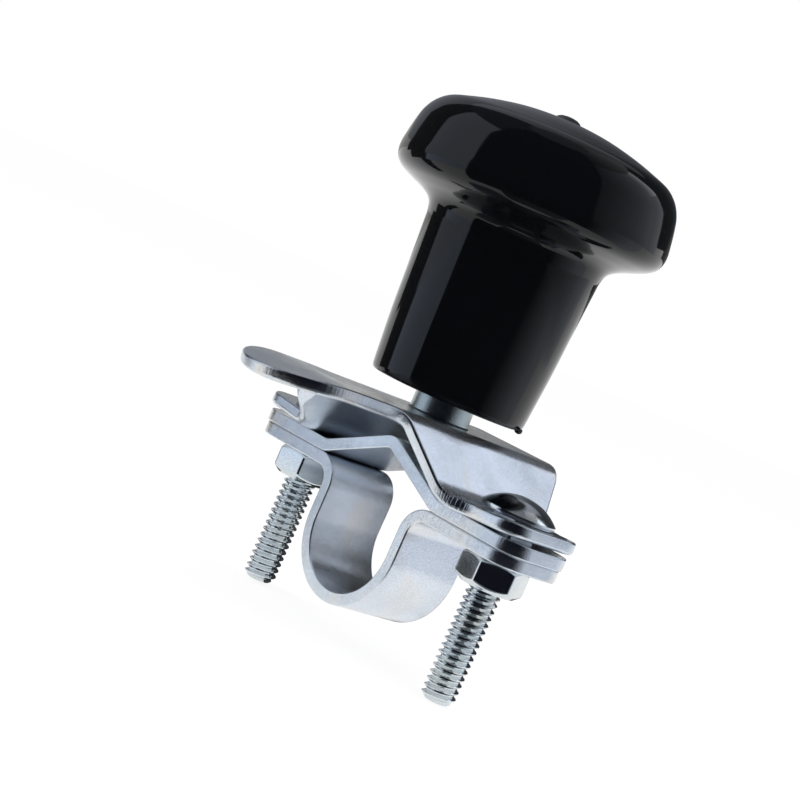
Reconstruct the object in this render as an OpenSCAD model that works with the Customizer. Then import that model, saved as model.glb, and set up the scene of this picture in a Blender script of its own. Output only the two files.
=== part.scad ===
// Steering wheel spinner knob with a two-bolt rim clamp.
// Z is the knob's axis, X runs from bolt to bolt, Y runs along the rim.
// The origin is the centre of the rim in the U of the strap.

/* [Rim clamp] */
// Radius of the U, which is the radius of the rim it holds
rim_radius = 10.5; // [9:0.5:13]
// Height of the ears' upper face above the rim's centre
ear_height = 10.9; // [9:0.1:14]
// Thickness of the three pressed sheets
sheet = 2.4; // [1.8:0.1:3]
// Width of the strap and the saddle along the rim
strap_width = 16.5; // [14:0.5:22]
// Radius of the rounded corners on the ears
ear_corner = 5; // [3:0.5:6.5]
// Inner radius of the bend from the U to an ear
shoulder_radius = 3; // [2:0.5:5]
// Distance from a bolt to the strap's end
strap_overhang = 9.3; // [7.5:0.1:12]
// Distance from a bolt to the saddle's end
saddle_overhang = 9.8; // [7.5:0.1:12]

/* [Saddle] */
// Slope of the saddle's roof
roof_angle = 22; // [15:1:30]
// Rise of the roof's crown above the saddle's ears
roof_rise = 6.35; // [4:0.05:7.5]
// Inner radius of the bend on the crown
crown_radius = 2; // [1:0.5:4]
// Inner radius of the bends at the roof's feet
foot_radius = 3; // [1:0.5:5]

/* [Carrier] */
// Height of the carrier's top above its ears
carrier_rise = 9.9; // [9:0.1:12]
// Slope of the carrier's sides
side_angle = 49; // [40:1:60]
// Half the distance between the two ridges of the carrier
ridge_half = 12; // [11:0.5:13]
// Inner radius of the bends on the ridges
ridge_radius = 1.8; // [1:0.1:3]
// Inner radius of the bends at the feet of the sides
side_foot_radius = 4.5; // [2:0.1:6]
// Angle at which the left ear springs up off the saddle
left_spring = 4.5; // [1:0.5:5]
// Angle at which the right ear springs up off the saddle
right_spring = 3; // [1:0.5:5]
// Distance from a bolt to the carrier's end
carrier_overhang = 9.2; // [8.5:0.1:12]
// Half the width of the carrier's ears along the rim
carrier_ear_half = 9.6; // [8:0.1:11]
// Distance from the knob's axis to the back edge of the carrier's top
back_reach = 21.7; // [19:0.1:26]
// Radius of the two back corners of the carrier's top, seen from above
back_corner = 5; // [2:0.5:6]
// Slant of the cut edges from the top's corners out to the ears
edge_slant = 34; // [28:1:40]
// Distance from the knob's axis to the root of the finger tab
tab_root = 19.1; // [17:0.1:20]
// Radius of the hollow where the finger tab runs into the right side
tab_fillet = 6; // [3:0.5:8]
// Distance from the knob's axis to the tip of the finger tab
tab_reach = 44.6; // [41:0.1:50]
// Half the width of the finger tab
tab_half_width = 11.7; // [8:0.1:12]
// Length of the curved end of the finger tab
tab_curl_length = 15; // [8:1:16]
// Radius to which the end of the finger tab curls down
tab_curl_radius = 64; // [30:1:80]

/* [Bolts and nuts] */
// Distance between the bolts
bolt_spacing = 56; // [54:0.5:60]
// Major diameter of the bolt's thread
bolt_diameter = 6.3; // [5:0.1:8]
// Pitch of the bolt's thread
bolt_pitch = 1.27; // [1:0.01:1.5]
// Length of the bolt under its head
bolt_length = 34.9; // [30:0.1:45]
// Diameter of the bolt's domed head
head_diameter = 13.8; // [12:0.2:14]
// Height of the bolt's domed head
head_height = 3.8; // [2.4:0.1:5]
// Gap round the bolt in its holes
bolt_gap = 0.15; // [0.1:0.05:0.4]
// Width of the nut across its flats
nut_flats = 11.1; // [10:0.1:13]
// Height of the nut
nut_height = 5.6; // [4:0.1:7]
// Angle at which the left nut ended up when it was tightened
left_nut_turn = 39; // [0:1:59]
// Angle at which the right nut ended up when it was tightened
right_nut_turn = 20; // [0:1:59]

/* [Knob] */
// Height of the knob's base above the carrier's top
knob_lift = 3.6; // [2:0.1:6]
// Diameter of the stem at its base
stem_base = 30; // [28:0.5:34]
// Diameter of the stem under the cap
stem_top = 34; // [30:0.5:38]
// Diameter of the cap at its widest
cap_diameter = 52.6; // [46:0.2:60]
// Height of the cap's widest line above the knob's base
cap_line = 39.1; // [36:0.1:42]
// Height of the knob from base to crown, without the nub
knob_height = 54.8; // [52:0.1:64]
// Slope of the cap's underside
underside_angle = 23; // [15:1:30]
// Taper of the cap's flank
flank_angle = 10; // [5:1:14]
// Radius of the hollow between the stem and the cap
throat_radius = 4; // [2:0.5:6]
// Radius of the cap's lower edge
lower_edge = 4; // [2:0.5:5]
// Radius of the cap's upper edge
cap_edge = 5.5; // [3:0.5:6.5]
// Radius of the crown's dome
dome_radius = 56; // [50:1:80]
// Radius out to which the crown is a dome
dome_reach = 17.3; // [14:0.1:18]
// Diameter of the moulding nub on the crown
nub_diameter = 5; // [3:0.1:8]
// Height of the moulding nub on the crown
nub_height = 0.9; // [0.4:0.1:2]
// Radius of the edge round the knob's base
base_edge = 1.2; // [0.5:0.1:2]
// Diameter of the recess in the knob's base
recess_diameter = 22; // [20:0.5:24]

/* [Spindle and bearing] */
// Height of the spindle's shoulder above the knob's base
shoulder_rise = 0.5; // [0.3:0.1:1]
// Diameter of the spindle's shoulder
shoulder_diameter = 11.4; // [10:0.1:14]
// Diameter of the spindle's journal
journal_diameter = 8; // [6:0.1:9]
// Length of the bush
bush_length = 22; // [16:0.5:26]
// Outer diameter of the bush
bush_diameter = 14; // [12:0.5:16]
// Outer diameter of the flange on the bush
flange_diameter = 18; // [16:0.5:19]
// Thickness of the flange on the bush
flange_thickness = 1.6; // [1:0.1:2]
// Thickness of the two washers
washer_thickness = 0.8; // [0.5:0.1:1.2]
// Radial gap between the journal and the bush
running_gap = 0.05; // [0.02:0.01:0.1]
// Gap along the axis between parts that turn on each other
end_gap = 0.3; // [0.2:0.05:0.5]
// Thickness of the retaining ring
ring_thickness = 1; // [0.8:0.1:1.5]
// Depth of the retaining ring's groove
groove_depth = 0.7; // [0.4:0.1:1]
// Diameter of the riveted head under the carrier
rivet_diameter = 12; // [10:0.5:16]
// Height of the riveted head under the carrier
rivet_height = 1.9; // [1:0.1:2.2]

/* [Hidden] */
$fn = 64;
far = 200;
fine = 0.01;

// Heights of the stack, from the rim's centre upwards
strap_top = ear_height;
saddle_top = strap_top + sheet;
carrier_ear_top = saddle_top + sheet;
carrier_top = carrier_ear_top + carrier_rise;
knob_base = carrier_top + knob_lift;
bolt_x = bolt_spacing / 2;
strap_reach = bolt_x + strap_overhang;
saddle_reach = bolt_x + saddle_overhang;
carrier_reach = bolt_x + carrier_overhang;
bolt_radius = bolt_diameter / 2;
thread_depth = 0.61 * bolt_pitch;

// Heights up the spindle
shoulder_top = knob_base + shoulder_rise;
thrust_top = shoulder_top + washer_thickness;
bush_base = thrust_top + end_gap;
bush_top = bush_base + bush_length;
upper_base = bush_top + end_gap;
ring_base = upper_base + washer_thickness;
ring_top = ring_base + ring_thickness;
spindle_top = ring_top + 2;
journal_radius = journal_diameter / 2;

// The point at a distance and an angle
function polar(r, a) = [r * cos(a), r * sin(a)];

// The unit vector from one point to another
function toward(a, b) = (b - a) / norm(b - a);

// The arc that rounds the corner b between a and c
function corner(a, b, c, r, steps = 8) =
    let (u = toward(b, a), v = toward(b, c))
    let (half = acos(max(-1, min(1, u * v))) / 2)
    let (side = u[0] * v[1] - u[1] * v[0] > 0 ? 1 : -1)
    let (centre = b + (u + v) / norm(u + v) * r / sin(half))
    let (start = b + u * r / tan(half) - centre)
    let (first = atan2(start[1], start[0]), turn = side * (2 * half - 180))
    [for (i = [0:steps]) centre + polar(r, first + turn * i / steps)];

// An outline whose corners are rounded, each point being [x, y, radius]
function rounded(points) =
    let (n = len(points))
    [for (i = [0:n - 1])
        let (a = points[(i + n - 1) % n], b = points[i], c = points[(i + 1) % n])
        each b[2] == 0 ? [[b[0], b[1]]]
            : corner([a[0], a[1]], [b[0], b[1]], [c[0], c[1]], b[2])];

// An outline whose right half is as given and whose left half mirrors other points
function joined(right, left) =
    concat(right, [for (i = [len(left) - 1:-1:0]) if (left[i][0] > fine) [-left[i][0], left[i][1]]]);

// Pairs of points on the upper and lower face of a folded sheet. Each fold is a straight
// length, the angle it then turns through and the inner radius of that bend.
function folded(folds, at, heading, i = 0) =
    i == len(folds) ? [] :
    let (turn = folds[i][1], inner = folds[i][2], side = turn < 0 ? 1 : -1)
    let (start = at + polar(folds[i][0], heading))
    let (upper = turn < 0 ? inner + sheet : inner, lower = turn < 0 ? inner : inner + sheet)
    let (centre = start - side * polar(upper, heading + 90))
    let (steps = turn == 0 ? 0 : ceil(abs(turn) / 8))
    concat([for (k = [0:steps])
                let (normal = side * polar(1, heading + 90 + turn * k / max(1, steps)))
                turn == 0 ? [start, start - polar(sheet, heading + 90)]
                          : [centre + upper * normal, centre + lower * normal]],
           folded(folds, turn == 0 ? start : centre + side * polar(upper, heading + 90 + turn),
                  heading + turn, i + 1));

// The closed outline of a folded sheet, along its upper face and back under it
function sheet_outline(folds, at, heading) =
    let (pairs = folded(folds, at, heading))
    concat([at], [for (p = pairs) p[0]], [for (i = [len(pairs) - 1:-1:0]) pairs[i][1]],
           [at - polar(sheet, heading + 90)]);

// A section in X and Z carried along Y
module along_rim(from, to) {
    translate([0, to, 0]) rotate([90, 0, 0]) linear_extrude(to - from) children();
}

// The holes for the two bolts, through everything
module bolt_holes() {
    for (side = [-1, 1]) translate([side * bolt_x, 0, -far])
        cylinder(r = bolt_radius + bolt_gap, h = 2 * far);
}

// The outline of a plain ear-to-ear strip, seen from above
module strip_plan(reach) {
    polygon(rounded([[-reach, -strap_width / 2, ear_corner], [reach, -strap_width / 2, ear_corner],
                     [reach, strap_width / 2, ear_corner], [-reach, strap_width / 2, ear_corner]]));
}

// One leg of the U, with its shoulder and its ear, on the side of the right bolt
module strap_leg() {
    leg = strap_top - sheet - shoulder_radius;
    ear = strap_reach - rim_radius - sheet - shoulder_radius;
    polygon(sheet_outline([[leg, -90, shoulder_radius], [ear, 0, 0]], [rim_radius, 0], 90));
}

// The bottom of the U, a true half ring round the rim
module strap_bow() {
    rotate([90, 0, 0]) difference() {
        cylinder(r = rim_radius + sheet, h = strap_width, center = true);
        cylinder(r = rim_radius, h = 2 * strap_width, center = true);
        translate([-far, 0, -far]) cube(2 * far);
    }
}

module strap() {
    color("silver") difference() {
        union() {
            strap_bow();
            intersection() {
                union() for (side = [0, 1]) mirror([side, 0, 0])
                    along_rim(-strap_width / 2, strap_width / 2) strap_leg();
                translate([0, 0, -far]) linear_extrude(2 * far) strip_plan(strap_reach);
            }
        }
        bolt_holes();
    }
}

// The length of the roof's slope, from its crown's bend to its foot's bend
roof_length = (roof_rise - (crown_radius + sheet + foot_radius) * (1 - cos(roof_angle))) / sin(roof_angle);
roof_foot = (crown_radius + sheet + foot_radius) * sin(roof_angle) + roof_length * cos(roof_angle);

// The saddle's section: crown, slope, foot and ear, the same on both sides
module saddle_section() {
    half = sheet_outline(
        [[0, -roof_angle, crown_radius], [roof_length, roof_angle, foot_radius], [saddle_reach - roof_foot, 0, 0]],
        [0, saddle_top + roof_rise], 0);
    polygon(joined(half, half));
}

module saddle() {
    color("gainsboro") difference() {
        intersection() {
            along_rim(-strap_width / 2, strap_width / 2) saddle_section();
            translate([0, 0, -far]) linear_extrude(2 * far) strip_plan(saddle_reach);
        }
        bolt_holes();
    }
}

// How far out the carrier's flat top ends, how long its sides are and where they meet the ears
top_flat = ridge_half - (ridge_radius + sheet) * tan(side_angle / 2);
side_span = ridge_radius + sheet + side_foot_radius;
side_length = (carrier_rise - side_span * (1 - cos(side_angle))) / sin(side_angle);
side_foot = top_flat + side_span * sin(side_angle) + side_length * cos(side_angle);

// Height of the carrier's ear on its upper face at a distance from the middle
function ear_face(x, spring) = carrier_ear_top + max(0, x - side_foot) * tan(spring);

// Half the carrier's section: top, ridge, side, foot and ear
function carrier_half(spring) = sheet_outline(
    [[top_flat, -side_angle, ridge_radius], [side_length, side_angle + spring, side_foot_radius],
     [carrier_reach, 0, 0]],
    [0, carrier_top], 0);

module carrier_section() {
    polygon(joined(carrier_half(right_spring), carrier_half(left_spring)));
}

// Where the fillets have run out into the straight sides of the finger tab
tab_start = -tab_root - 0.7 * tab_fillet;

// The carrier's outline seen from above, without the tab. The left front edge leaves the tab
// nearer the front and slants more, so that both edges reach the ears at like places.
module carrier_plan() {
    ear = carrier_ear_half;
    back_run = (back_reach - ear) / tan(edge_slant);
    front_run = (tab_root - ear) / tan(edge_slant);
    back = [[carrier_reach, ear, ear_corner], [min(ridge_half + 1 + back_run, carrier_reach - ear_corner - 1), ear, 1],
            [ridge_half + 1, back_reach, back_corner], [0, back_reach, 0]];
    start = [[0, tab_start, 0], [tab_half_width, tab_start, 0]];
    right = [[tab_half_width, -tab_root, tab_fillet], [tab_half_width + front_run, -ear, ear_corner],
             [carrier_reach, -ear, ear_corner]];
    left = [[tab_half_width, -tab_root - 0.35 * tab_fillet, 1], [ridge_half + 5, -tab_root, 2],
            [tab_half_width + front_run - 2, -ear, 3], [carrier_reach, -ear, ear_corner]];
    polygon(joined(rounded(concat(start, right, back)), rounded(concat(start, left, back))));
}

// The finger tab: a flat tongue whose end curls down
module finger_tab() {
    bend_y = tab_curl_length - tab_reach;
    curl = 2 * asin(tab_curl_length / tab_curl_radius / 2) + 6;
    root = tab_start + 1;
    intersection() {
        rotate([90, 0, -90]) translate([0, 0, -tab_half_width - 1]) linear_extrude(2 * tab_half_width + 2)
            polygon(sheet_outline([[root - bend_y, -curl, tab_curl_radius]], [-root, carrier_top], 0));
        union() {
            translate([0, tab_half_width - tab_reach]) cylinder(r = tab_half_width, h = far);
            translate([-tab_half_width, tab_half_width - tab_reach])
                cube([2 * tab_half_width, root - tab_half_width + tab_reach, far]);
        }
    }
}

module carrier() {
    hole = bolt_diameter + 2 * bolt_gap;
    color("lightgray") difference() {
        union() {
            intersection() {
                along_rim(-tab_root - 12, back_reach + 1) carrier_section();
                translate([0, 0, -far]) linear_extrude(2 * far) carrier_plan();
            }
            finger_tab();
        }
        for (side = [-1, 1]) translate([side * bolt_x, 0, carrier_ear_top])
            cube([hole, hole, 4 * sheet], center = true);
        cylinder(r = journal_radius, h = far);
    }
}

// A coach bolt: domed head, square neck, shank and a bevelled end
module coach_bolt(x, spring) {
    seat = ear_face(bolt_x + head_diameter / 2, spring);
    head_radius = head_diameter / 2;
    rim_height = 0.9;
    crown_height = head_height - rim_height;
    ball = (head_radius * head_radius + crown_height * crown_height) / (2 * crown_height);
    neck_base = saddle_top + 0.4;
    translate([x, 0, 0]) {
        intersection() {
            translate([0, 0, seat]) cylinder(r = head_radius, h = head_height);
            translate([0, 0, seat + head_height - ball]) sphere(ball);
        }
        translate([-bolt_radius, -bolt_radius, neck_base])
            cube([bolt_diameter, bolt_diameter, seat - neck_base + fine]);
        translate([0, 0, seat - bolt_length + thread_depth])
            cylinder(r = bolt_radius, h = bolt_length - thread_depth);
        translate([0, 0, seat - bolt_length])
            cylinder(r1 = bolt_radius - thread_depth, r2 = bolt_radius, h = thread_depth);
    }
}

module bolt_left() {
    color("darkgray") coach_bolt(-bolt_x, left_spring);
}

module bolt_right() {
    color("darkgray") coach_bolt(bolt_x, right_spring);
}

// A hex nut under the strap's ear, bevelled on both faces, round the bolt's thread
module hex_nut(x, turn) {
    across_corners = nut_flats / cos(30);
    bevel = (across_corners - nut_flats) / 2;
    translate([x, 0, strap_top - sheet - nut_height]) difference() {
        intersection() {
            rotate(30 + turn) cylinder(d = across_corners, h = nut_height, $fn = 6);
            union() {
                cylinder(d1 = nut_flats, d2 = across_corners, h = bevel * tan(30));
                translate([0, 0, bevel * tan(30)])
                    cylinder(d = across_corners, h = nut_height - 2 * bevel * tan(30));
                translate([0, 0, nut_height - bevel * tan(30)])
                    cylinder(d1 = across_corners, d2 = nut_flats, h = bevel * tan(30));
            }
        }
        translate([0, 0, -1]) cylinder(r = bolt_radius, h = nut_height + 2);
    }
}

module nut_left() {
    color("slategray") hex_nut(-bolt_x, left_nut_turn);
}

module nut_right() {
    color("slategray") hex_nut(bolt_x, right_nut_turn);
}

// The spindle: riveted head, tenon, shoulder, journal and the ring's groove
module spindle() {
    color("gray") difference() {
        union() {
            translate([0, 0, carrier_top - sheet - rivet_height])
                cylinder(d1 = rivet_diameter - 3, d2 = rivet_diameter, h = rivet_height);
            translate([0, 0, carrier_top - sheet]) cylinder(r = journal_radius, h = sheet);
            translate([0, 0, carrier_top])
                cylinder(d = shoulder_diameter, h = shoulder_top - carrier_top);
            translate([0, 0, shoulder_top])
                cylinder(r = journal_radius, h = spindle_top - shoulder_top - 0.8);
            translate([0, 0, spindle_top - 0.8])
                cylinder(r1 = journal_radius, r2 = journal_radius - 0.8, h = 0.8);
        }
        translate([0, 0, ring_base]) difference() {
            cylinder(r = journal_radius + 1, h = ring_thickness);
            translate([0, 0, -1]) cylinder(r = journal_radius - groove_depth, h = ring_thickness + 2);
        }
    }
}

module thrust_washer() {
    color("khaki") translate([0, 0, shoulder_top]) difference() {
        cylinder(d = flange_diameter, h = washer_thickness);
        translate([0, 0, -1]) cylinder(r = journal_radius, h = washer_thickness + 2);
    }
}

module upper_washer() {
    color("khaki") translate([0, 0, upper_base]) difference() {
        cylinder(d = bush_diameter - 1, h = washer_thickness);
        translate([0, 0, -1]) cylinder(r = journal_radius, h = washer_thickness + 2);
    }
}

// The retaining ring, open on one side, seated in the spindle's groove
module retaining_ring() {
    color("black") translate([0, 0, ring_base]) difference() {
        cylinder(d = bush_diameter - 2, h = ring_thickness);
        translate([0, 0, -1]) cylinder(r = journal_radius - groove_depth, h = ring_thickness + 2);
        translate([0, -1.5, -1]) cube([bush_diameter, 3, ring_thickness + 2]);
    }
}

// The plain bush, with its flange against the thrust washer
module bush() {
    color("orange") translate([0, 0, bush_base]) difference() {
        union() {
            cylinder(d = flange_diameter, h = flange_thickness);
            cylinder(d = bush_diameter, h = bush_length);
        }
        translate([0, 0, -1]) cylinder(r = journal_radius + running_gap, h = bush_length + 2);
    }
}

// The height of the crown's dome at a distance from the axis
function dome(r) = knob_height - dome_radius + sqrt(dome_radius * dome_radius - r * r);

// Half the knob's section, from the base up the stem and round the cap to the crown and its nub
module knob_half_section() {
    bend = tan((90 - underside_angle + flank_angle) / 2);
    low_x = cap_diameter / 2 + lower_edge * (bend * sin(flank_angle) - 1 + cos(flank_angle));
    low_z = cap_line - lower_edge * (bend * cos(flank_angle) - sin(flank_angle));
    throat_z = low_z - (low_x - stem_top / 2) * tan(underside_angle);
    fall = dome_reach / sqrt(dome_radius * dome_radius - dome_reach * dome_reach);
    high_x = (low_x - (dome(dome_reach) + dome_reach * fall - low_z) * tan(flank_angle)) / (1 - fall * tan(flank_angle));
    high_z = dome(dome_reach) - (high_x - dome_reach) * fall;
    nub = nub_diameter / 2;
    polygon(concat(
        rounded([[0, 0, 0], [stem_base / 2, 0, base_edge], [stem_top / 2, throat_z, throat_radius],
                 [low_x, low_z, lower_edge], [high_x, high_z, cap_edge], [dome_reach, dome(dome_reach), 0]]),
        [for (i = [11:-1:0]) [nub + (dome_reach - nub) * i / 12, dome(nub + (dome_reach - nub) * i / 12)]],
        [for (a = [15:15:90]) [nub * cos(a), dome(nub) + (knob_height + nub_height - dome(nub)) * sin(a)]]));
}

module knob() {
    bore_top = spindle_top + 1.5 - knob_base;
    socket = bush_base + flange_thickness - knob_base;
    color("dimgray") translate([0, 0, knob_base]) difference() {
        rotate_extrude($fn = 96) knob_half_section();
        translate([0, 0, -1]) cylinder(d = recess_diameter, h = 1 + socket);
        cylinder(d = bush_diameter, h = bore_top);
    }
}

knob();
bush();
thrust_washer();
upper_washer();
retaining_ring();
spindle();
carrier();
saddle();
strap();
bolt_left();
bolt_right();
nut_left();
nut_right();
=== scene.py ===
"""Looks of the steering wheel spinner knob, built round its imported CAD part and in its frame.

The part's sizes are millimetres until MM turns them into metres. The studio's are metres and degrees."""

import math

import bmesh
import bpy
from mathutils import Matrix, Vector


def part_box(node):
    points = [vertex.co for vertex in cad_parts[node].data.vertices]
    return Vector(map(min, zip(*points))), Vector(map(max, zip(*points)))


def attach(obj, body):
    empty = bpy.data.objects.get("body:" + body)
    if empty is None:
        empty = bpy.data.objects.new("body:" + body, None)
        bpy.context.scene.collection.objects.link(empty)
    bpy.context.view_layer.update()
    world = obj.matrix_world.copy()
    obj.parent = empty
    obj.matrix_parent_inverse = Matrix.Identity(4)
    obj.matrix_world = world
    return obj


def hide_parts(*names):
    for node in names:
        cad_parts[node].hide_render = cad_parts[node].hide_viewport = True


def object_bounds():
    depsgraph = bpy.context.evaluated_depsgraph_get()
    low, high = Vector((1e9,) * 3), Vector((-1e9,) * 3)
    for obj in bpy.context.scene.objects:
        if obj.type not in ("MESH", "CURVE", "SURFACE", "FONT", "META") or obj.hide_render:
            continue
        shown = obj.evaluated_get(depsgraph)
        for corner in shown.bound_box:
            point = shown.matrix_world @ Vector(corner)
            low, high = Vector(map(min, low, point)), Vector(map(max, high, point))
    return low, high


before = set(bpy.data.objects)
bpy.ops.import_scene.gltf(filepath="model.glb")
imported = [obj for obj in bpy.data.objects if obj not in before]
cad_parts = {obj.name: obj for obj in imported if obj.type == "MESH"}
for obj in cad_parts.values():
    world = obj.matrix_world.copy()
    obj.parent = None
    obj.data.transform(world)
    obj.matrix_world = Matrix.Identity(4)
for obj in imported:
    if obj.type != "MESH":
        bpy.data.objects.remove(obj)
cad_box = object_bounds()

MM = 0.001
TURN = math.radians(360)

# Points nearer to each other than this become one: in turned meshes and nuts, in the CAD's sheets, in threads
WELD = 0.002
SHEET_WELD = 0.001
THREAD_WELD = 0.004
# A point this near to a cutting plane lies on it
CUT_SLACK = 0.0005

# The colour sockets of a Mix node
MIX_A, MIX_B, MIX_OUT = 6, 7, 2


# Small tools
def linear(hex_colour):
    """An sRGB hex colour as the linear values that a shader takes."""
    channels = [int(hex_colour[i:i + 2], 16) / 255 for i in (1, 3, 5)]
    return [c / 12.92 if c <= 0.04045 else ((c + 0.055) / 1.055) ** 2.4 for c in channels] + [1.0]


def add(tree, kind, inputs=(), **settings):
    """Adds a shader node with its settings. Its inputs are values, or links from other nodes' sockets."""
    node = tree.nodes.new("ShaderNode" + kind)
    for name, value in settings.items():
        setattr(node, name, value)
    for name, value in dict(inputs).items():
        if isinstance(value, bpy.types.NodeSocket):
            tree.links.new(value, node.inputs[name])
        else:
            node.inputs[name].default_value = value
    return node


def noise(tree, place, size_mm, detail, **inputs):
    """Noise whose largest lumps are about size_mm apart."""
    node = add(tree, "TexNoise", {"Vector": place, "Scale": 1 / (size_mm * MM), "Detail": detail, **inputs})
    return node.outputs["Fac"]


def spread(tree, value, start, end, low=0.0, high=1.0):
    """A value between start and end mapped onto low to high."""
    node = add(tree, "MapRange", {"Value": value, "From Min": start, "From Max": end, "To Min": low,
                                  "To Max": high})
    return node.outputs["Result"]


def blend(tree, share, one, other):
    """A colour between two, by share."""
    node = add(tree, "Mix", {"Factor": share, MIX_A: one, MIX_B: other}, data_type="RGBA")
    return node.outputs[MIX_OUT]


def new_material(name):
    """An empty node material and its tree."""
    material = bpy.data.materials.new(name)
    material.use_nodes = True
    material.node_tree.nodes.clear()
    return material, material.node_tree


def end_material(tree, inputs):
    """Closes a material's tree with its one shader."""
    shader = add(tree, "BsdfPrincipled", inputs)
    add(tree, "OutputMaterial", {"Surface": shader.outputs["BSDF"]})


def piece(name, bm, material, body, replaced, sharp):
    """Makes a finished bmesh the named piece, smooth up to the sharp angle, riding on its body."""
    mesh = bpy.data.meshes.new(name)
    bm.to_mesh(mesh)
    bm.free()
    for polygon in mesh.polygons:
        polygon.use_smooth = True
    mesh.set_sharp_from_angle(angle=math.radians(sharp))
    obj = bpy.data.objects.new(name, mesh)
    bpy.context.scene.collection.objects.link(obj)
    mesh.materials.append(material)
    weighted = obj.modifiers.new("Even shading of flats", "WEIGHTED_NORMAL")
    weighted.keep_sharp = True
    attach(obj, body)
    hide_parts(*replaced)
    return obj


def weld(bm, distance):
    """Merges points that lie within a distance in millimetres."""
    bmesh.ops.remove_doubles(bm, verts=bm.verts, dist=distance * MM)


def close_up(bm):
    """Merges doubles and turns every face outwards."""
    weld(bm, WELD)
    bmesh.ops.recalc_face_normals(bm, faces=bm.faces)


def shift(bm, verts, vector):
    """Moves vertices by a vector in millimetres."""
    bmesh.ops.translate(bm, verts=verts, vec=vector * MM)


def round_off(bm, edges, size, segments):
    """Rounds edges off by a size in millimetres."""
    bmesh.ops.bevel(bm, geom=edges, offset=size * MM, offset_type="OFFSET", segments=segments, profile=0.5,
                    affect="EDGES", clamp_overlap=True, material=-1)


def turned(outline, x=0.0, steps=96):
    """A bmesh turned round an upright axis at x from an outline of (radius, height) in millimetres."""
    bm = bmesh.new()
    verts = [bm.verts.new((r * MM, 0, z * MM)) for r, z in outline]
    edges = [bm.edges.new(pair) for pair in zip(verts, verts[1:])]
    bmesh.ops.spin(bm, geom=verts + edges, cent=(0, 0, 0), axis=(0, 0, 1), angle=TURN, steps=steps,
                   use_merge=True)
    close_up(bm)
    shift(bm, bm.verts, Vector((x, 0, 0)))
    return bm


def flowing(points, each):
    """A smooth run through (radius, height) points, with so many steps to each."""
    run = []
    for i in range(len(points) - 1):
        a, b = Vector(points[i]), Vector(points[i + 1])
        before = Vector(points[i - 1]) if i else a - (b - a)
        after = Vector(points[i + 2]) if i + 2 < len(points) else b + (b - a)
        for k in range(each):
            t = k / each
            run.append(tuple(0.5 * (2 * a + (b - before) * t + (2 * before - 5 * a + 4 * b - after) * t * t
                                    + (3 * a - before - 3 * b + after) * t ** 3)))
    return run + [tuple(points[-1])]


# Sizes read from the CAD part
def lowest(node):
    """The least x, y and z of a CAD node, in millimetres."""
    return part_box(node)[0] / MM


def highest(node):
    """The greatest x, y and z of a CAD node, in millimetres."""
    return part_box(node)[1] / MM


KNOB_BASE = lowest("knob").z
CARRIER_TOP = highest("carrier").z
BOLT_X = (lowest("bolt_right").x + highest("bolt_right").x) / 2
HEAD_RADIUS = (highest("bolt_right").x - lowest("bolt_right").x) / 2
NUT_FOOT = lowest("nut_right").z
NUT_TOP = highest("nut_right").z


# Materials
# Where the blanking punch scored the carrier's right foot most, and how far round it from full to none
SCORED_FOOT = (23.2, -10.6, 14.6)
SCORED_FULL, SCORED_NONE = 3, 5


def zinc_plate(name, bright="#E5ECF6", dull="#CBD2DA", warm="#E4DED2", gloss=0.17, grain_mm=0.25,
               metal=0.95, speckle=0.12, shear=0.0, bumps=0.8):
    """Zinc electroplate over pressed steel, clear passivated: a bright, faintly blue metal with a soft haze,
    a slight orange-peel left by the pickled steel and, here and there, the warm tint of the passivation. Cut
    edges (shear) add upright marks where the blanking punch scored them. Peel and marks are drawn two or
    three times as coarse as they are, so that they show at the size of the picture."""
    material, tree = new_material(name)
    place = add(tree, "TexCoord").outputs["Object"]
    clouds = noise(tree, place, 9, 3.0, Roughness=0.55)
    tint = noise(tree, place, 16, 1.0, Distortion=1.2)
    peel = noise(tree, place, grain_mm, 4.0, Roughness=0.6)
    base = blend(tree, clouds, linear(dull), linear(bright))
    tinted = blend(tree, spread(tree, tint, 0.52, 0.72, high=0.55), base, linear(warm))
    grain = spread(tree, peel, 0.35, 0.65, 1 - speckle, 1 + speckle / 2)
    spotted = add(tree, "VectorMath", {0: tinted, "Scale": grain}, operation="SCALE")
    rough = spread(tree, clouds, 0.3, 0.7, gloss + 0.06, gloss - 0.03)
    bump = add(tree, "Bump", {"Height": peel, "Strength": bumps, "Distance": 0.05 * MM})
    if shear:
        upright = add(tree, "Mapping", {"Vector": place, "Scale": (1, 1, 0.06)})
        marks = spread(tree, noise(tree, upright.outputs[0], 0.5, 1.0), 0.5, 0.62)
        scored = spread(tree, tint, 0.5, 0.58, high=0.4)
        away = add(tree, "VectorMath", {0: place, 1: Vector(SCORED_FOOT) * MM}, operation="DISTANCE")
        foot = spread(tree, away.outputs["Value"], SCORED_FULL * MM, SCORED_NONE * MM, 1.0, 0.0)
        mask = add(tree, "Math", {0: scored, 1: foot}, operation="MAXIMUM")
        depth = add(tree, "Math", {0: marks, 1: mask.outputs[0]}, operation="MULTIPLY")
        bump = add(tree, "Bump", {"Height": depth.outputs[0], "Strength": shear, "Distance": 0.05 * MM,
                                  "Normal": bump.outputs["Normal"]}, invert=True)
    end_material(tree, {"Base Color": spotted.outputs["Vector"], "Metallic": metal, "Roughness": rough,
                        "Normal": bump.outputs["Normal"]})
    return material


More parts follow.
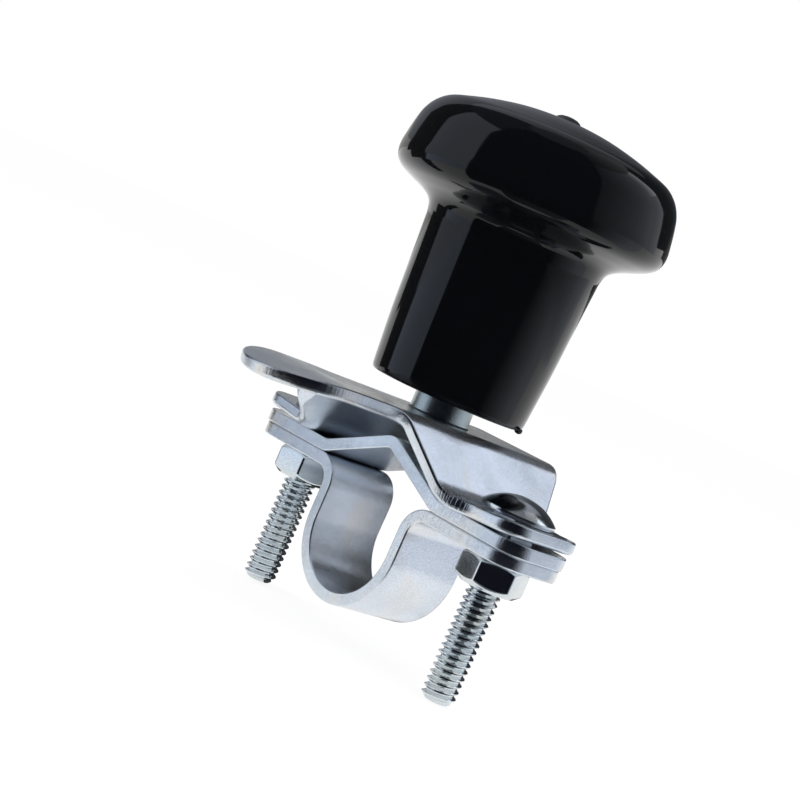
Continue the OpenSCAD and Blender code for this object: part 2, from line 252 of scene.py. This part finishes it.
def black_phenolic(name):
    """Black phenolic, compression moulded in a polished tool: a deep black with a wet gloss, so that only the
    sources of light show in it, very slight ripples where the resin flowed and a gloss that hands have
    dulled unevenly."""
    material, tree = new_material(name)
    place = add(tree, "TexCoord").outputs["Object"]
    ripple = noise(tree, place, 14, 1.0)
    handling = noise(tree, place, 5, 5.0, Roughness=0.65)
    rough = spread(tree, handling, 0.35, 0.75, 0.05, 0.1)
    bump = add(tree, "Bump", {"Height": ripple, "Strength": 0.15, "Distance": 0.3 * MM})
    end_material(tree, {"Base Color": linear("#060709"), "Roughness": rough, "IOR": 1.36,
                        "Normal": bump.outputs["Normal"]})
    return material


def machined_metal(name, colour, gloss, turning_mm):
    """Turned or stamped metal whose fine tool marks lie round the knob's axis and streak its shine. They are
    drawn TURN * turning_mm apart, several times as far as in truth, so that they show."""
    material, tree = new_material(name)
    place = add(tree, "TexCoord").outputs["Object"]
    marks = add(tree, "TexWave", {"Vector": place, "Scale": 1 / (turning_mm * MM) / 20, "Distortion": 0.4},
                wave_type="BANDS", bands_direction="Z")
    bump = add(tree, "Bump", {"Height": marks.outputs["Fac"], "Strength": 0.15, "Distance": 0.02 * MM})
    end_material(tree, {"Base Color": linear(colour), "Metallic": 1.0, "Roughness": gloss,
                        "Normal": bump.outputs["Normal"]})
    return material


# Rolled sheet, soft in its shine; its punched edges, with marks; cold-headed and rolled bolts and nuts,
# plated in a barrel and so polished by each other; the turned post, plated thin and so greyer
plate = zinc_plate("zinc_plated_pressing")
sheared = zinc_plate("zinc_plated_sheared_edge", bright="#E2E9F0", dull="#BAC3CC", warm="#E6E0D4",
                     grain_mm=0.22, metal=1.0, speckle=0.13, shear=0.6)
fastener = zinc_plate("zinc_plated_fastener", bright="#E2E9ED", dull="#C0C8CD", warm="#DFE1DD", gloss=0.11,
                      grain_mm=0.3, metal=1.0, bumps=0.3)
post = zinc_plate("zinc_plated_post", bright="#D0DCDC", dull="#AAB8BB", warm="#CAD1C7", gloss=0.27,
                  grain_mm=0.3, metal=1.0)
moulding = black_phenolic("black_phenolic_moulding")
# Sintered and oiled, so a dull gold; stamped from bright strip; tempered, so blued dark
bronze = machined_metal("sintered_bronze", "#B08A55", 0.42, 0.2)
bright_steel = machined_metal("bright_steel", "#B9B9B7", 0.3, 0.15)
spring_steel = machined_metal("blued_spring_steel", "#3A3D42", 0.35, 0.3)


# The knob, one moulding turned from its outline of (radius, height over its base)
BASE_EDGE = [(13.9, 0), (14.55, 0.2), (14.9, 0.75), (15.05, 1.8)]
STEM = [(15.25, 4.2), (15.85, 11.7), (16.35, 20.7), (16.8, 28)]
UNDER_CAP = [(17.0, 30.4), (17.65, 32.2), (19.4, 33.5), (22.0, 34.6), (24.4, 35.7)]
CAP = [(25.8, 37.1), (26.28, 39.1), (26.0, 41.6), (25.45, 44.6), (24.85, 46.7), (23.7, 48.7), (21.8, 50.4)]
CROWN = [(19, 51.5), (15, 52.75), (10, 53.9), (5, 54.55), (2.9, 54.72)]
NUB = [(2.5, 54.85), (2.2, 55.2), (1.6, 55.52), (0.8, 55.67), (0, 55.7)]
# The hollow in the base with its bevelled mouth, and the bore with its room over the spindle's end
RECESS_RADIUS, RECESS_TOP, RECESS_BEVEL = 11, 3.2, 0.35
BORE_RADIUS, BORE_ROOM = 7, 1.5
# The rest of the moulding's gate on the base's rim: its size and shape, its azimuth, and how far it lies from
# the axis and over the base
NIB_RADIUS, NIB_SHAPE = 0.8, (1, 2.1, 0.8)
NIB_TURN, NIB_REACH, NIB_HEIGHT = math.radians(46), 14.35, 0.05


def make_knob():
    bore_top = highest("spindle").z + BORE_ROOM - KNOB_BASE
    inside = [(0, bore_top), (BORE_RADIUS, bore_top), (BORE_RADIUS, RECESS_TOP), (RECESS_RADIUS, RECESS_TOP),
              (RECESS_RADIUS, RECESS_BEVEL), (RECESS_RADIUS + RECESS_BEVEL, 0)]
    outside = flowing(BASE_EDGE + STEM + UNDER_CAP + CAP + CROWN, each=5) + NUB
    bm = turned([(r, z + KNOB_BASE) for r, z in inside + outside], steps=160)
    nib = bmesh.ops.create_icosphere(bm, subdivisions=2, radius=NIB_RADIUS * MM)["verts"]
    bmesh.ops.scale(bm, verts=nib, vec=NIB_SHAPE)
    bmesh.ops.rotate(bm, verts=nib, matrix=Matrix.Rotation(NIB_TURN, 3, "Z"))
    shift(bm, nib, Vector((NIB_REACH * math.cos(NIB_TURN), NIB_REACH * math.sin(NIB_TURN),
                           KNOB_BASE + NIB_HEIGHT)))
    piece("knob_moulding", bm, moulding, "knob", ["knob"], sharp=40)


# Pressed sheets: their thickness, and the rounding of their rims
SHEET = 2.4
RIM = 0.5
# Nearer to the middle than this lies the strap's U
U_REACH = 20
# Faces that meet at less than the first angle are one face, and at more than the second they form a rim
FLAT_ANGLE, RIM_ANGLE = math.radians(0.3), math.radians(50)


def finish_sheet(bm, node):
    """Makes a sheet its piece. Faces of material index 1 are its sheared edges."""
    obj = piece(node + "_pressing", bm, plate, "clamp", [node], sharp=30)
    obj.data.materials.append(sheared)


def make_pressing(node):
    """A copy of the CAD pressing with its sheared edges rounded."""
    bm = bmesh.new()
    bm.from_mesh(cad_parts[node].data)
    weld(bm, SHEET_WELD)
    bmesh.ops.dissolve_limit(bm, angle_limit=FLAT_ANGLE, verts=bm.verts, edges=bm.edges)
    # Upright faces are sheared edges, but for the walls of the strap's U
    for face in bm.faces:
        upright = abs(face.normal.z) < 0.2
        wall_of_u = (node == "strap" and abs(face.normal.y) < 0.3
                     and abs(face.calc_center_median().x) < U_REACH * MM)
        face.material_index = 1 if upright and not wall_of_u else 0
    edges = [e for e in bm.edges if len(e.link_faces) == 2 and e.calc_face_angle() > RIM_ANGLE]
    round_off(bm, edges, RIM, segments=3)
    weld(bm, SHEET_WELD)
    finish_sheet(bm, node)


# The carrier is blanked flat and then folded, as the real one is, so that its cut edges stand square to the
# sheet. Half of its top and a slope are straight; the bends' radii are those of the upper face.
TOP_FLAT = 10.086
SLOPE = 9.153
STEEP = math.radians(49)
RIDGE, FOOT = 4.2, 4.5
# Degrees by which each ear springs up, on the right and on the left
SPRING = {1: 3, -1: 4.5}
# The tab's reach and half width, and where its end curls down, with the radius and the length of the curl
TAB_REACH, TAB_HALF = 44.6, 11.7
CURL_START, CURL, CURL_LENGTH = -29.6, 66.4, 15
# From here to there, over this length, the ridges' bends run out into the tab
FADE_START, FADE_END, FADE = -17.3, -22.3, 5
# The punch went in from below and rolled the lower rims over more than the upper ones
LOWER_RIM = 0.85
BACK = 21.7
# Outlines seen from above, right and left, from the front to the back, each point being (x, y, radius)
PLAN = {
    1: [(TAB_HALF, -19.1, 6), (25.78, -9.6, 5), (37.2, -9.6, 5), (37.2, 9.6, 5), (30.9, 9.6, 1),
        (13, BACK, 5)],
    -1: [(TAB_HALF, -21.2, 1), (17, -19.1, 2), (23.78, -9.6, 3), (37.2, -9.6, 5), (37.2, 9.6, 5),
         (30.9, 9.6, 1), (13, BACK, 5)],
}


def rounded(points, steps=10):
    """An open run of (x, y, radius) points whose corners are rounded by their radius."""
    run = []
    for i, (x, y, radius) in enumerate(points):
        if not radius:
            run.append((x, y))
            continue
        b = Vector((x, y))
        u = (Vector(points[i - 1][:2]) - b).normalized()
        v = (Vector(points[i + 1][:2]) - b).normalized()
        half = u.angle(v) / 2
        centre = b + (u + v).normalized() * radius / math.sin(half)
        first = b + u * radius / math.tan(half) - centre
        last = b + v * radius / math.tan(half) - centre
        turn = first.angle_signed(last)
        for k in range(steps + 1):
            run.append(tuple(centre + Matrix.Rotation(-turn * k / steps, 2) @ first))
    return run


def folds(side):
    """The folds from the middle outwards: a straight length, a turn and its radius on the upper face."""
    endless = 99
    return [(TOP_FLAT, -STEEP, RIDGE), (SLOPE, STEEP + math.radians(SPRING[side]), FOOT), (endless, 0, 1)]


def fold(u, depth, side, fade=1.0):
    """Where a point of the blank comes to lie, out from the middle and up; fade lessens the ridge's bend."""
    x, z, heading = 0, CARRIER_TOP, 0
    for length, turn, radius in folds(side):
        run = min(u, length)
        x, z, u = x + run * math.cos(heading), z + run * math.sin(heading), u - run
        bent = min(u, abs(turn) * radius)
        if bent > 0:
            share = fade if turn < 0 else 1.0
            after = heading + math.copysign(bent / radius * share, turn)
            middle, half = (heading + after) / 2, (after - heading) / 2
            chord = bent * math.sin(half) / half if half else bent
            x, z = x + chord * math.cos(middle), z + chord * math.sin(middle)
            heading, u = after, u - bent
    return x + depth * math.sin(heading), z - depth * math.cos(heading)


def unfold(x, side):
    """How far out on the blank a point of the folded upper face lies, found by halving."""
    low, high = 0.0, 60.0
    for _ in range(40):
        middle = (low + high) / 2
        low, high = (middle, high) if fold(middle, 0, side)[0] < x else (low, middle)
    return low


def blank_outline():
    """The blank's outline, from the tab's tip up the right side, and back to the tip down the left."""
    angles = [math.radians(a) for a in range(0, 91, 5)]
    tip = [(TAB_HALF * math.sin(a), -(TAB_REACH - TAB_HALF) - TAB_HALF * math.cos(a)) for a in angles]
    outline = []
    for side in (1, -1):
        flat = []
        for x, y in tip + rounded([tip[-1] + (0,)] + PLAN[side] + [(0, BACK, 0)])[1:-1]:
            if y < CURL_START:
                y = CURL_START - CURL * math.asin((CURL_START - y) / CURL)
            flat.append((side * unfold(x, side), y))
        outline += flat if side == 1 else flat[:0:-1]
    return outline


def crease_lines():
    """Where the blank gets cuts so that it can bend, each an axis and a place on it."""
    lines = [(1, FADE_START - FADE * i / 8) for i in range(9)]
    lines += [(1, CURL_START - CURL_LENGTH * i / 12) for i in range(12)]
    for side in (1, -1):
        ridge, foot = (radius * abs(turn) for _, turn, radius in folds(side)[:2])
        lines += [(0, side * (TOP_FLAT + ridge * i / 8)) for i in range(9)]
        lines += [(0, side * (TOP_FLAT + ridge + SLOPE + foot * i / 8)) for i in range(9)]
    return lines


def make_carrier():
    bm = bmesh.new()
    lid = bm.faces.new([bm.verts.new((x * MM, y * MM, 0)) for x, y in blank_outline()])
    bmesh.ops.recalc_face_normals(bm, faces=[lid])
    grown = bmesh.ops.extrude_face_region(bm, geom=[lid])["geom"]
    shift(bm, [v for v in grown if isinstance(v, bmesh.types.BMVert)], Vector((0, 0, -SHEET)))
    bmesh.ops.recalc_face_normals(bm, faces=bm.faces)
    for face in bm.faces:
        face.material_index = 1 if abs(face.normal.z) < 0.5 else 0
    # The rims of the upper face, then those of the lower one
    for level, size in ((0, RIM), (-SHEET, LOWER_RIM)):
        rims = [e for e in bm.edges if all(abs(v.co.z - level * MM) < 0.1 * MM for v in e.verts)]
        round_off(bm, rims, size, segments=4)
    for axis, place in crease_lines():
        bmesh.ops.bisect_plane(bm, geom=bm.verts[:] + bm.edges[:] + bm.faces[:], dist=CUT_SLACK * MM,
                               plane_co=[place * MM if i == axis else 0 for i in range(3)],
                               plane_no=[i == axis for i in range(3)])
    for v in bm.verts:
        u, y, depth = v.co.x / MM, v.co.y / MM, -v.co.z / MM
        side = 1 if u >= 0 else -1
        t = min(1, max(0, (y - FADE_END) / FADE))
        x, z = fold(abs(u), depth, side, t * t * (3 - 2 * t))
        if y < CURL_START:
            angle = (CURL_START - y) / CURL
            y = CURL_START - (CURL - depth) * math.sin(angle)
            z = CARRIER_TOP - CURL + (CURL - depth) * math.cos(angle)
        v.co = Vector((side * x, y, z)) * MM
    finish_sheet(bm, "carrier")


# Bolts: a domed head on a square neck, and a rolled thread of 20 turns to the inch
BOLT_RADIUS = 3.15
PITCH = 1.27
THREAD_DEPTH = 0.72
THREAD_STEPS = 48
# One turn of the thread: (share of the pitch, share of the depth), from the root over the crest to the root
THREAD_TOOTH = ((0, 1), (0.1, 1), (0.4, 0.14), (0.47, 0), (0.6, 0), (0.67, 0.14), (0.97, 1))
# The bevelled end: how far its flat lies within the thread's root, and how steeply it widens
END_INSET, END_SLOPE = 0.25, 1.1
# The head's height, that of its rim, and the rim's lower edge: (within the head's radius, over its seat)
HEAD_HEIGHT, HEAD_RIM = 3.8, 0.9
HEAD_EDGE = [(0.4, 0), (0.08, 0.15), (0, 0.5)]
HEAD_STEPS = 24
# The necks stand on the saddle's ears, and lap into head and thread
SADDLE_EAR_TOP = 13.3
NECK_LAP = 0.1
NECK_ROUNDING = 0.5


def thread_radius(z, foot):
    """The most that the thread's radius may be near the bevelled end."""
    return BOLT_RADIUS - THREAD_DEPTH - END_INSET + max(0, z - foot) * END_SLOPE


def make_thread(bm, x, foot):
    """Winds the tooth's profile round the bolt, cuts the thread off at both ends and closes them."""
    verts = []
    # Three turns more than fit, from one and a half below the foot, so that both ends can be cut off
    for i in range(int((SADDLE_EAR_TOP - foot) / PITCH) + 3):
        for along, depth in THREAD_TOOTH:
            z = foot + (i - 1.5 + along) * PITCH
            verts.append(bm.verts.new(((BOLT_RADIUS - depth * THREAD_DEPTH) * MM, 0, z * MM)))
    edges = [bm.edges.new(pair) for pair in zip(verts, verts[1:])]
    bmesh.ops.spin(bm, geom=verts + edges, cent=(0, 0, 0), axis=(0, 0, 1),
                   dvec=(0, 0, PITCH * MM / THREAD_STEPS), angle=TURN, steps=THREAD_STEPS, use_merge=False)
    weld(bm, THREAD_WELD)
    for height, direction in ((foot, -1), (SADDLE_EAR_TOP, 1)):
        bmesh.ops.bisect_plane(bm, geom=bm.verts[:] + bm.edges[:] + bm.faces[:], dist=CUT_SLACK * MM,
                               plane_co=(0, 0, height * MM), plane_no=(0, 0, direction), clear_outer=True)
        rim = [e for e in bm.edges
               if e.is_boundary and all(abs(v.co.z - height * MM) < 0.01 * MM for v in e.verts)]
        bmesh.ops.holes_fill(bm, edges=rim, sides=0)
    for v in bm.verts:
        radius = Vector(v.co.xy).length
        most = thread_radius(v.co.z / MM, foot) * MM
        if radius > most:
            v.co.x *= most / radius
            v.co.y *= most / radius
    bmesh.ops.recalc_face_normals(bm, faces=bm.faces)
    shift(bm, bm.verts, Vector((x, 0, 0)))


def make_bolt(node, x):
    seat = highest(node).z - HEAD_HEIGHT
    bm = bmesh.new()
    make_thread(bm, x, lowest(node).z)
    head = [(0, seat)] + [(HEAD_RADIUS - within, seat + over) for within, over in HEAD_EDGE]
    ball = (HEAD_RADIUS ** 2 + (HEAD_HEIGHT - HEAD_RIM) ** 2) / (2 * (HEAD_HEIGHT - HEAD_RIM))
    for i in range(1, HEAD_STEPS + 1):
        r = HEAD_RADIUS * math.cos(math.radians(90 * i / HEAD_STEPS))
        head.append((r, seat + HEAD_HEIGHT - ball + math.sqrt(ball ** 2 - r ** 2)))
    dome = turned(head, x)
    mesh = bpy.data.meshes.new("head")
    dome.to_mesh(mesh)
    dome.free()
    bm.from_mesh(mesh)
    bpy.data.meshes.remove(mesh)
    neck = bmesh.ops.create_cube(bm, size=1)["verts"]
    low, high = SADDLE_EAR_TOP - NECK_LAP, seat + NECK_LAP
    bmesh.ops.scale(bm, verts=neck, vec=(2 * BOLT_RADIUS * MM, 2 * BOLT_RADIUS * MM, (high - low) * MM))
    shift(bm, neck, Vector((x, 0, (high + low) / 2)))
    corners = [e for e in bm.edges if e.verts[0] in neck and e.verts[1] in neck
               and abs(e.verts[0].co.z - e.verts[1].co.z) > MM]
    round_off(bm, corners, NECK_ROUNDING, segments=3)
    piece(node + "_coach", bm, fastener, "clamp", [node], sharp=35)


# Nuts: a hexagon with slightly rounded corners, bevelled by cones, its thread's mouth countersunk
NUT_FLATS = 11.1
NUT_CORNER = math.radians(60)
NUT_ROUNDING = 0.6
NUT_STEPS = 192
# Degrees by which each nut happened to be left turned
NUT_TURN = {"nut_left": 39, "nut_right": 20}
# The bevel's angle, and its depth on the middle of a flat
BEVEL_ANGLE, BEVEL = math.radians(30), 0.4
# The mouth's reach inside and outside the bolt's radius, its depth, and the washer face's margin
MOUTH_IN, MOUTH_OUT, MOUTH_DEPTH = 0.45, 0.3, 0.75
FACE_MARGIN = 0.5
# The rounding between bevel and flat: (how far within the flat, how far below the bevel's end)
BEVEL_ROUNDING = ((0.34, -0.16), (0.14, 0), (0.04, 0.18), (0, 0.4))


def make_nut(node, x):
    across = NUT_FLATS / 2
    turn = math.radians(30 + NUT_TURN[node])
    centre = (across - NUT_ROUNDING) / math.cos(NUT_CORNER / 2)
    flat_end = math.atan(centre * math.sin(NUT_CORNER / 2) / across)

    def hexagon(angle):
        """The radius of the hexagon at an angle, its corners rounded."""
        off = abs((angle - turn) % NUT_CORNER - NUT_CORNER / 2)
        if off < flat_end:
            return across / math.cos(off)
        off = NUT_CORNER / 2 - off
        return centre * math.cos(off) + math.sqrt(NUT_ROUNDING ** 2 - (centre * math.sin(off)) ** 2)

    def end(angle):
        """One end's half section at an angle: (radius, depth below the face), from the thread out."""
        r = hexagon(angle)
        drop = (r - across) * math.tan(BEVEL_ANGLE) + BEVEL
        mouth = [(BOLT_RADIUS - MOUTH_IN, MOUTH_DEPTH), (BOLT_RADIUS + MOUTH_OUT, 0)]
        bevel = [(r - within, drop + below) for within, below in BEVEL_ROUNDING]
        return mouth + [(across - FACE_MARGIN, 0)] + bevel

    bm = bmesh.new()
    sections = []
    for i in range(NUT_STEPS):
        a = turn + TURN * i / NUT_STEPS
        section = [(r, NUT_FOOT + z) for r, z in end(a)] + [(r, NUT_TOP - z) for r, z in end(a)[::-1]]
        sections.append([bm.verts.new((r * math.cos(a) * MM, r * math.sin(a) * MM, z * MM))
                         for r, z in section])
    loops = [[bm.edges.new(pair) for pair in zip(ring, ring[1:] + ring[:1])] for ring in zip(*sections)]
    for one, other in zip(loops, loops[1:] + loops[:1]):
        bmesh.ops.bridge_loops(bm, edges=one + other)
    close_up(bm)
    shift(bm, bm.verts, Vector((x, 0, 0)))
    piece(node + "_hex", bm, fastener, "clamp", [node], sharp=25)


# The spindle: riveted head under the carrier, tenon, shoulder with a fillet, journal and groove. The rivet's
# outline is of (radius, height over its foot), the fillet's of (out from the shoulder, over the carrier).
RIVET = [(0, 0), (4.3, 0), (4.9, 0.25), (5.9, 1.6), (5.9, 1.9)]
FILLET = [(0.35, 0), (0.1, 0.2), (0, 0.6)]
SHOULDER, JOURNAL = 5.7, 4
# The shoulder stands a little into the knob's recess; its rim and the spindle's end are bevelled
SHOULDER_RISE, SHOULDER_BEVEL, END_BEVEL = 0.5, 0.3, 0.8
# The retaining ring's groove over the knob's base: its height, depth and width
GROOVE_HEIGHT, GROOVE_DEPTH, GROOVE_WIDTH = 24.7, 0.7, 1


def make_spindle():
    foot, top = lowest("spindle").z, highest("spindle").z
    base, shoulder_top = CARRIER_TOP, KNOB_BASE + SHOULDER_RISE
    groove = KNOB_BASE + GROOVE_HEIGHT
    rivet = [(r, foot + z) for r, z in RIVET]
    tenon = [(JOURNAL, rivet[-1][1]), (JOURNAL, base)]
    shoulder = [(SHOULDER + out, base + z) for out, z in FILLET]
    shoulder += [(SHOULDER, shoulder_top - SHOULDER_BEVEL), (SHOULDER - SHOULDER_BEVEL, shoulder_top),
                 (JOURNAL, shoulder_top)]
    journal = [(JOURNAL, groove), (JOURNAL - GROOVE_DEPTH, groove),
               (JOURNAL - GROOVE_DEPTH, groove + GROOVE_WIDTH), (JOURNAL, groove + GROOVE_WIDTH),
               (JOURNAL, top - END_BEVEL), (JOURNAL - END_BEVEL, top), (0, top)]
    bm = turned(rivet + tenon + shoulder + journal)
    piece("spindle_post", bm, post, "clamp", ["spindle"], sharp=30)


make_knob()
make_carrier()
make_pressing("saddle")
make_pressing("strap")
for side, x in (("left", -BOLT_X), ("right", BOLT_X)):
    make_bolt("bolt_" + side, x)
    make_nut("nut_" + side, x)
make_spindle()
for node, material in (("bush", bronze), ("thrust_washer", bright_steel), ("upper_washer", bright_steel),
                       ("retaining_ring", spring_steel)):
    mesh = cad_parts[node].data
    mesh.materials.clear()
    mesh.materials.append(material)

# Camera, as the photograph has it
CAMERA_PLACE = Vector((0.26546, -0.25539, 0.04594))
CAMERA_RIGHT = Vector((0.67820, 0.73488, 0))
CAMERA_UP = Vector((-0.04037, 0.03725, 0.99849))
CAMERA_LEAN = math.radians(23.689)
camera = bpy.data.objects.new("camera", bpy.data.cameras.new("camera"))
bpy.context.scene.collection.objects.link(camera)
across = CAMERA_RIGHT * math.cos(CAMERA_LEAN) + CAMERA_UP * math.sin(CAMERA_LEAN)
upward = CAMERA_UP * math.cos(CAMERA_LEAN) - CAMERA_RIGHT * math.sin(CAMERA_LEAN)
camera.matrix_world = Matrix.Translation(CAMERA_PLACE) @ Matrix(
    (across, upward, across.cross(upward))).transposed().to_4x4()
camera.data.lens = 91
camera.data.sensor_width = 36
camera.data.clip_start = 0.01
bpy.context.scene.camera = camera


# Studio: a white floor, soft boxes, and boards that are seen only in reflections
FLOOR_LEVEL = cad_box[0][2]
FLOOR_GAP = 0.2 * MM
# The share of the floor that glows; the rest takes the shadow
FLOOR_GLOW = 0.9
BOARD_DISTANCE = 0.9
# The height that the boards' angles are measured from, about the middle of the object
BOARD_MIDDLE = 0.04


def stage_piece(name, bm, material):
    """Makes a bmesh a piece of the studio."""
    mesh = bpy.data.meshes.new(name)
    bm.to_mesh(mesh)
    bm.free()
    obj = bpy.data.objects.new(name, mesh)
    bpy.context.scene.collection.objects.link(obj)
    mesh.materials.append(material)
    return obj


def glowing(name, shade, around, strength):
    """A glow that goes from one strength to another between two azimuths."""
    material, tree = new_material(name)
    place = add(tree, "TexCoord").outputs["Object"]
    turn = add(tree, "TexGradient", {"Vector": place}, gradient_type="RADIAL")
    start, end = (azimuth / 360 + 0.5 for azimuth in around)
    level = spread(tree, turn.outputs["Fac"], start, end, *strength)
    glow = add(tree, "Emission", {"Color": linear(shade), "Strength": level})
    add(tree, "OutputMaterial", {"Surface": glow.outputs[0]})
    return material


def reflected_only(obj):
    """Hides a piece of the studio from everything but reflections."""
    obj.visible_camera = False
    obj.visible_diffuse = False
    obj.visible_shadow = False
    obj.visible_transmission = False


def board(name, around, profile, strength, shade="#FFFFFF"):
    """A board bent round the object between two azimuths, from a profile of (distance, height)."""
    bm = bmesh.new()
    verts = [bm.verts.new((r, 0, z)) for r, z in profile]
    edges = [bm.edges.new(pair) for pair in zip(verts, verts[1:])]
    bmesh.ops.rotate(bm, verts=verts, matrix=Matrix.Rotation(math.radians(around[0]), 3, "Z"))
    bmesh.ops.spin(bm, geom=verts + edges, cent=(0, 0, 0), axis=(0, 0, 1),
                   angle=math.radians(around[1] - around[0]), steps=24)
    reflected_only(stage_piece(name, bm, glowing(name, shade, around, strength)))


def card(name, low, high, strength, shade):
    """A flat upright card across the Y axis between two corners."""
    bm = bmesh.new()
    upright = Matrix.Rotation(TURN / 4, 4, "X")
    bmesh.ops.create_grid(bm, x_segments=1, y_segments=1, size=0.5, matrix=upright)
    bmesh.ops.scale(bm, verts=bm.verts, vec=(high[0] - low[0], 1, high[2] - low[2]))
    bmesh.ops.translate(bm, verts=bm.verts, vec=(Vector(low) + Vector(high)) / 2)
    reflected_only(stage_piece(name, bm, glowing(name, shade, (-180, 180), (strength, strength))))


def rise(low, high):
    """A profile that bends up round the object between two heights in degrees."""
    angles = [math.radians(low + (high - low) * i / 8) for i in range(9)]
    return [(BOARD_DISTANCE * math.cos(a), BOARD_DISTANCE * math.sin(a) + BOARD_MIDDLE) for a in angles]


def ground(near, far=0.95):
    """A profile that lies just over the floor and climbs a little."""
    return [(near, FLOOR_LEVEL), (far, FLOOR_LEVEL + 0.01 * far)]


def soft_box(name, place, size, power):
    """A square light that faces the object and isn't seen in reflections."""
    light = bpy.data.objects.new(name, bpy.data.lights.new(name, "AREA"))
    light.data.shape = "SQUARE"
    light.data.size = size
    light.data.energy = power
    light.location = place
    light.rotation_mode = "QUATERNION"
    light.rotation_quaternion = (-Vector(place)).to_track_quat("-Z", "Y")
    light.visible_glossy = False
    bpy.context.scene.collection.objects.link(light)


def white_floor(name):
    """Matt white paper that keeps a faint shadow, and is nearly plain white to the eye and in reflections."""
    material, tree = new_material(name)
    path = add(tree, "LightPath").outputs
    seen = add(tree, "Math", {0: path["Is Camera Ray"], 1: path["Is Glossy Ray"]}, operation="MAXIMUM")
    seen = add(tree, "Math", {0: seen.outputs[0], 1: path["Is Transmission Ray"]}, operation="MAXIMUM")
    share = add(tree, "Math", {0: seen.outputs[0], 1: FLOOR_GLOW}, operation="MULTIPLY")
    matt = add(tree, "BsdfDiffuse", {"Color": linear("#F4F4F4")})
    glow = add(tree, "Emission", {"Color": linear("#FFFFFF"), "Strength": 1.0})
    both = add(tree, "MixShader", {0: share.outputs[0], 1: matt.outputs[0], 2: glow.outputs[0]})
    add(tree, "OutputMaterial", {"Surface": both.outputs[0]})
    return material


floor_mesh = bmesh.new()
bmesh.ops.create_circle(floor_mesh, cap_ends=True, segments=64, radius=6)
bmesh.ops.translate(floor_mesh, verts=floor_mesh.verts, vec=(0, 0, FLOOR_LEVEL - FLOOR_GAP))
stage_piece("floor", floor_mesh, white_floor("white_paper"))

world = bpy.data.worlds.new("studio")
bpy.context.scene.world = world
world.use_nodes = True
world.node_tree.nodes.clear()
sky = add(world.node_tree, "Background", {"Color": linear("#FFFFFF"), "Strength": 1.0})
add(world.node_tree, "OutputWorld", {"Surface": sky.outputs[0]})

# The dark side behind the camera, which draws the black bands in the plating
board("camera_hood", (-103, 4), ground(0.1) + rise(-6, 76), (0.012, 0.012), "#C8D0FF")
board("thread_flag", (-72, -10), ground(0.04, 0.1), (0.1, 0.3), "#D8E0E8")
# The left side, whose box shows as the long light in the knob
board("left_box", (-150, -103), rise(-6, 46), (0.75, 1.1), "#E8F0FF")
board("left_top", (-180, -103), rise(46, 76), (0.08, 0.12), "#E8F0FF")
board("left_floor", (-147, -103), ground(0.245), (1.2, 1.05), "#DCE9FF")
board("left_flag", (-180, -150), rise(-6, 46), (0.04, 0.04))
board("nut_flag", (-155, -141), ground(0.09, 0.24), (0.05, 0.06), "#C8D8E8")
board("left_floor_flag", (-172, -147), ground(0.245), (0.05, 0.05))
# The back, which the tops of the sheets show
for name, around, low, high in (("right", (98, 128), (0.06, 0.2), (0.04, 0.1)),
                                ("middle", (128, 140), (0.2, 0.5), (0.1, 0.26)),
                                ("left", (140, 180), (0.5, 0.75), (0.26, 0.45))):
    board("back_low_" + name, around, rise(0.8, 9), low, "#F4F4F0")
    board("back_" + name, around, rise(9, 44), high, "#E2E8F4")
board("back_top", (98, 180), rise(44, 76), (0.3, 0.7), "#F0F2FF")
board("back_floor", (70, 180), ground(0.02, 0.075), (0.03, 0.05), "#D8E4E4")
# Dark cards close behind the clamp, for the hollows between its sheets
card("gap_card", (-0.03, 0.03, 0.0), (0.014, 0.03, 0.026), 0.02, "#D8E4E4")
card("bend_card", (0.002, 0.03, -0.013), (0.0155, 0.03, 0.0), 0.03, "#C8D8E8")
card("strap_card", (-0.06, 0.03, -0.0184), (-0.02, 0.03, -0.003), 0.03, "#C8D8E8")
# The right side, which the slope and the U show
board("right_floor", (4, 45), ground(0.1), (0.03, 0.95), "#F0F4FF")
board("right_floor_end", (45, 60), ground(0.1), (0.95, 0.95), "#F0F4FF")
board("right_box", (4, 66), rise(-6, 56), (0.17, 0.86), "#EEF4FF")
board("slope_box", (66, 81), rise(34, 56), (1.0, 2.15), "#EEF4FF")
board("right_box_end", (66, 81), rise(-6, 34), (0.75, 0.9), "#EEF4FF")
board("right_flag", (81, 98), rise(8, 56), (0.04, 0.04))
board("right_top", (4, 98), rise(56, 76), (0.1, 0.5))
board("top_box", (-180, 180), rise(76, 90), (0.22, 0.22), "#F4F8FF")

soft_box("key_light", (0.3, 0.1, 0.9), 0.7, 7)
soft_box("fill_light", (-0.6, -0.6, 0.5), 0.5, 4)

bpy.context.scene.view_settings.view_transform = "Standard"
